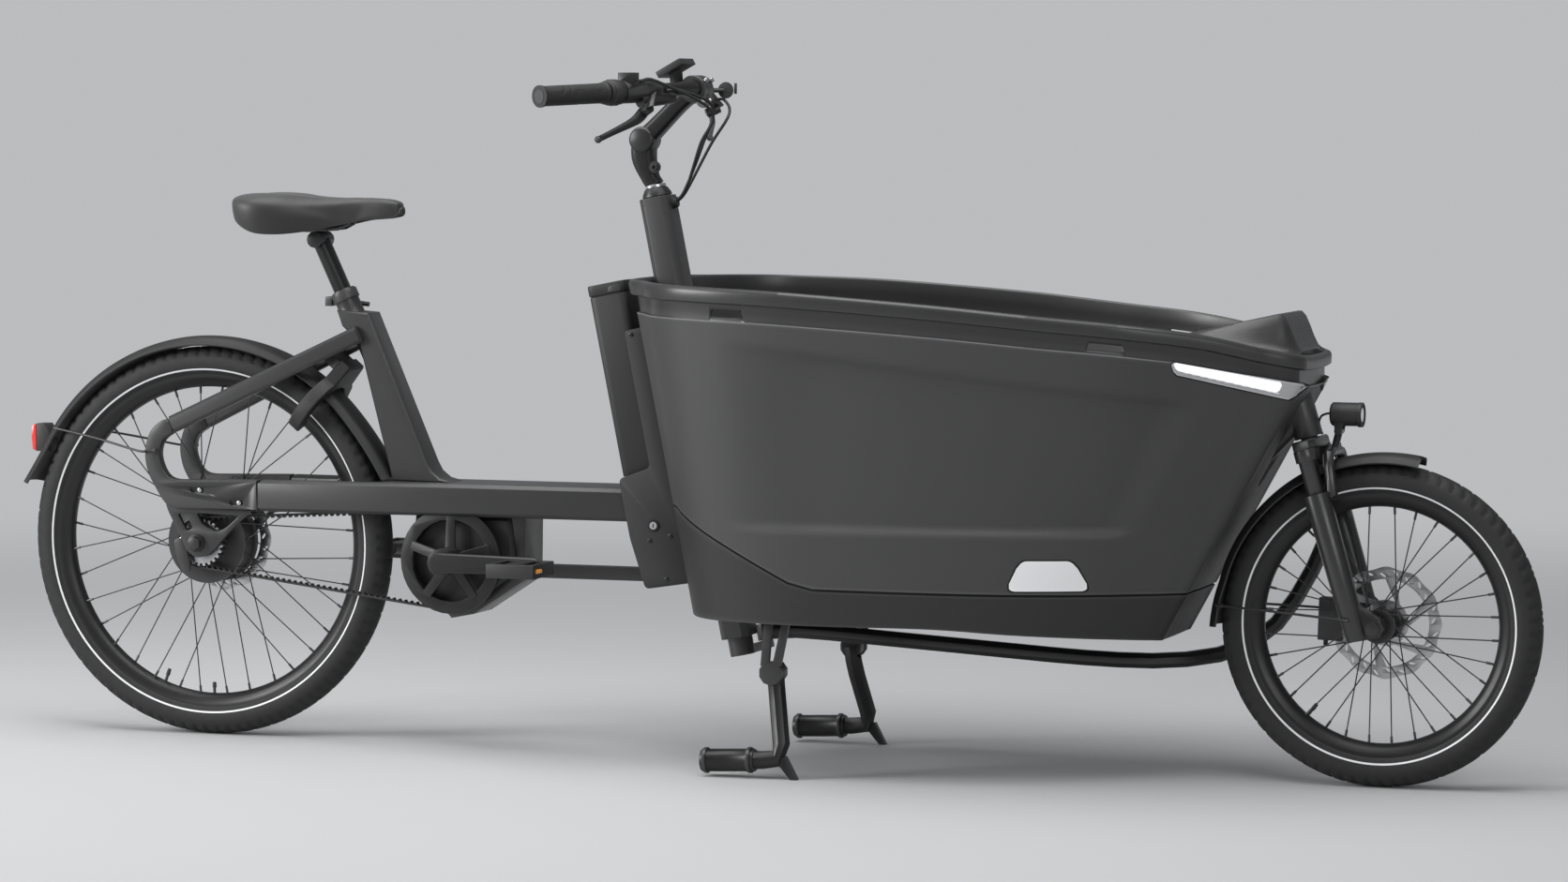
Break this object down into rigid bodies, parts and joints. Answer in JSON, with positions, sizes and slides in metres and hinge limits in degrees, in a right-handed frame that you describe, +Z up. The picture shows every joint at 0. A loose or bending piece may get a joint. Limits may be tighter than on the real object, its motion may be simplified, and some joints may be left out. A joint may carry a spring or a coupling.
{
  "type": "front-box cargo bike",
  "caption": "Electric cargo bike with a deep moulded box ahead of the rider, small front wheel steered by a rod, belt drive, mid motor, tower battery and centre stand",
  "frame": {"origin": "on the ground under the middle of the bike's length and width", "axes": "+X forward along the bike, +Y to the rider's left, +Z up"},
  "size_m": [2.6528, 0.6828, 1.1574],
  "materials": {
    "frame_paint": "satin powder coat, near black",
    "satin_black_parts": "black anodised or satin black",
    "gloss_black": "smooth semi-gloss black",
    "black_plastic": "fine-grained moulded plastic",
    "box_panel": "mid grey, fine grain",
    "box_skirt": "dark grey, fine grain",
    "lamp_white": "clear lens over white reflector",
    "lamp_red": "red lens",
    "bright_steel": "machined bare steel",
    "tyre_rubber": "black rubber with a pale reflex line",
    "soft_rubber": "matt rubber",
    "saddle_cover": "black fine-grained cover"
  },
  "bodies": {
    "frame": {"seat_tube": "frame_paint", "main_beam": "frame_paint", "stay_casting_right": "frame_paint", "stay_casting_left": "frame_paint", "seat_stay_right": "frame_paint", "seat_stay_left": "frame_paint", "motor_housing": "black_plastic", "battery_dock": "black_plastic", "column_sleeve": "frame_paint", "front_frame": "frame_paint", "box_shell": "box_panel", "box_skirt": "box_skirt", "box_rim": "box_panel", "light_bar_right": "lamp_white", "light_bar_left": "lamp_white", "window_right": "black_plastic", "window_left": "black_plastic", "rear_mudguard": "black_plastic", "tail_lens": "lamp_red", "ring_lock": "black_plastic", "rear_caliper": "satin_black_parts", "belt": "soft_rubber", "cables": "soft_rubber"},
    "steering": {"stem": "satin_black_parts", "handlebar": "satin_black_parts", "grip_right": "soft_rubber", "grip_left": "soft_rubber", "brake_mount_right": "satin_black_parts", "brake_mount_left": "satin_black_parts", "display": "black_plastic", "bell": "satin_black_parts"},
    "rod": {"steering_rod": "gloss_black"},
    "fork": {"fork_upper": "satin_black_parts"},
    "lower_legs": {"fork_lower": "satin_black_parts", "front_mudguard": "black_plastic", "front_caliper": "satin_black_parts"},
    "lamp": {"headlight": "black_plastic"},
    "front_rolling": {"front_tyre": "tyre_rubber", "front_wheel": "satin_black_parts", "front_disc": "bright_steel"},
    "rear_rolling": {"rear_tyre": "tyre_rubber", "rear_wheel": "satin_black_parts", "rear_disc": "bright_steel"},
    "cranks": {"crank_right": "satin_black_parts", "crank_left": "satin_black_parts"},
    "cog": {"rear_cog": "bright_steel"},
    "right_pedal": {"pedal_right": "black_plastic"},
    "left_pedal": {"pedal_left": "black_plastic"},
    "right_lever": {"brake_lever_right": "satin_black_parts"},
    "left_lever": {"brake_lever_left": "satin_black_parts"},
    "shifter": {"twist_shifter": "black_plastic"},
    "striker": {"bell_striker": "bright_steel"},
    "right_stand": {"stand_right": "satin_black_parts"},
    "left_stand": {"stand_left": "satin_black_parts"},
    "seat": {"seat_post": "satin_black_parts", "saddle": "saddle_cover", "saddle_rails": "satin_black_parts"},
    "seat_clamp_lever": {"seat_lever": "satin_black_parts"},
    "shackle": {"lock_shackle": "bright_steel"},
    "battery": {"battery_pack": "black_plastic"}
  },
  "joints": [
    {"name": "handlebar_steer", "type": "hinge", "parent": "frame", "child": "steering", "pos_m": [-0.15456, 0, 0.928], "axis": [-0.1942, 0, 0.981], "range_deg": [-28, 28], "deforming": ["cables"]},
    {"name": "rod_swing", "type": "hinge", "parent": "steering", "child": "rod", "pos_m": [0.00316, 0.09507, 0.20026], "axis": [-0.1942, 0, 0.981], "range_deg": [-28, 28]},
    {"name": "fork_steer", "type": "hinge", "parent": "frame", "child": "fork", "pos_m": [0.95125, 0, 0.548], "axis": [-0.284, 0, 0.9588], "range_deg": [-28, 28]},
    {"name": "fork_travel", "type": "slide", "parent": "fork", "child": "lower_legs", "axis": [-0.284, 0, 0.9588], "range_m": [0, 0.012], "stiffness_N_per_m": 30000, "springref_m": -0.02},
    {"name": "front_wheel_spin", "type": "hinge", "parent": "lower_legs", "child": "front_rolling", "pos_m": [1.06844, 0, 0.258], "axis": [0, 1, 0], "continuous": true},
    {"name": "rear_wheel_spin", "type": "hinge", "parent": "frame", "child": "rear_rolling", "pos_m": [-0.97156, 0, 0.334], "axis": [0, 1, 0], "continuous": true},
    {"name": "crank_spin", "type": "hinge", "parent": "frame", "child": "cranks", "pos_m": [-0.50756, 0, 0.317], "axis": [0, 1, 0], "continuous": true, "deforming": ["belt"]},
    {"name": "cog_spin", "type": "hinge", "parent": "frame", "child": "cog", "pos_m": [-0.97156, 0, 0.334], "axis": [0, 1, 0], "continuous": true},
    {"name": "pedal_right_spin", "type": "hinge", "parent": "cranks", "child": "right_pedal", "pos_m": [-0.33756, -0.16, 0.317], "axis": [0, 1, 0], "continuous": true},
    {"name": "pedal_left_spin", "type": "hinge", "parent": "cranks", "child": "left_pedal", "pos_m": [-0.67756, 0.16, 0.317], "axis": [0, 1, 0], "continuous": true},
    {"name": "brake_lever_right_pull", "type": "hinge", "parent": "steering", "child": "right_lever", "pos_m": [-0.11556, -0.16, 1.071], "axis": [-0.7692, 0.4685, -0.4346], "range_deg": [0, 18], "stiffness_Nm_per_rad": 1.2, "springref_deg": -11.46},
    {"name": "brake_lever_left_pull", "type": "hinge", "parent": "steering", "child": "left_lever", "pos_m": [-0.11556, 0.16, 1.071], "axis": [0.7692, 0.4685, 0.4346], "range_deg": [0, 18], "stiffness_Nm_per_rad": 1.2, "springref_deg": -11.46},
    {"name": "shifter_twist", "type": "hinge", "parent": "steering", "child": "shifter", "pos_m": [-0.15809, -0.19514, 1.10047], "axis": [-0.4599, -0.887, -0.0414], "range_deg": [-35, 35]},
    {"name": "bell_strike", "type": "hinge", "parent": "steering", "child": "striker", "pos_m": [-0.05856, 0.115, 1.097], "axis": [0, 1, 0], "range_deg": [0, 20], "stiffness_Nm_per_rad": 0.02, "springref_deg": -5.73},
    {"name": "stand_right_swing", "type": "hinge", "parent": "frame", "child": "right_stand", "pos_m": [0.12041, -0.2, 0.169], "axis": [0, 1, 0], "range_deg": [0, 65]},
    {"name": "stand_left_swing", "type": "hinge", "parent": "frame", "child": "left_stand", "pos_m": [0.12041, 0.2, 0.169], "axis": [0, 1, 0], "range_deg": [0, 65]},
    {"name": "seat_height", "type": "slide", "parent": "frame", "child": "seat", "axis": [-0.4274, 0, 0.9041], "range_m": [-0.05, 0.1]},
    {"name": "seat_lever_turn", "type": "hinge", "parent": "frame", "child": "seat_clamp_lever", "pos_m": [-0.74837, 0.033, 0.74787], "axis": [0, -1, 0], "range_deg": [0, 100]},
    {"name": "headlight_tilt", "type": "hinge", "parent": "lower_legs", "child": "lamp", "pos_m": [0.99834, 0, 0.56508], "axis": [0, 1, 0], "range_deg": [-8, 8]},
    {"name": "lock_turn", "type": "hinge", "parent": "frame", "child": "shackle", "pos_m": [-0.76763, 0, 0.57277], "axis": [0.7604, 0, -0.6494], "range_deg": [0, 88]},
    {"name": "battery_lift", "type": "slide", "parent": "frame", "child": "battery", "axis": [-0.1942, 0, 0.981], "range_m": [0, 0.33]}
  ],
  "couplings": [
    {"joint": "rod_swing", "follows": "handlebar_steer", "ratio": -1},
    {"joint": "fork_steer", "follows": "handlebar_steer", "ratio": 1},
    {"joint": "cog_spin", "follows": "crank_spin", "ratio": 2},
    {"joint": "stand_left_swing", "follows": "stand_right_swing", "ratio": 1}
  ]
}
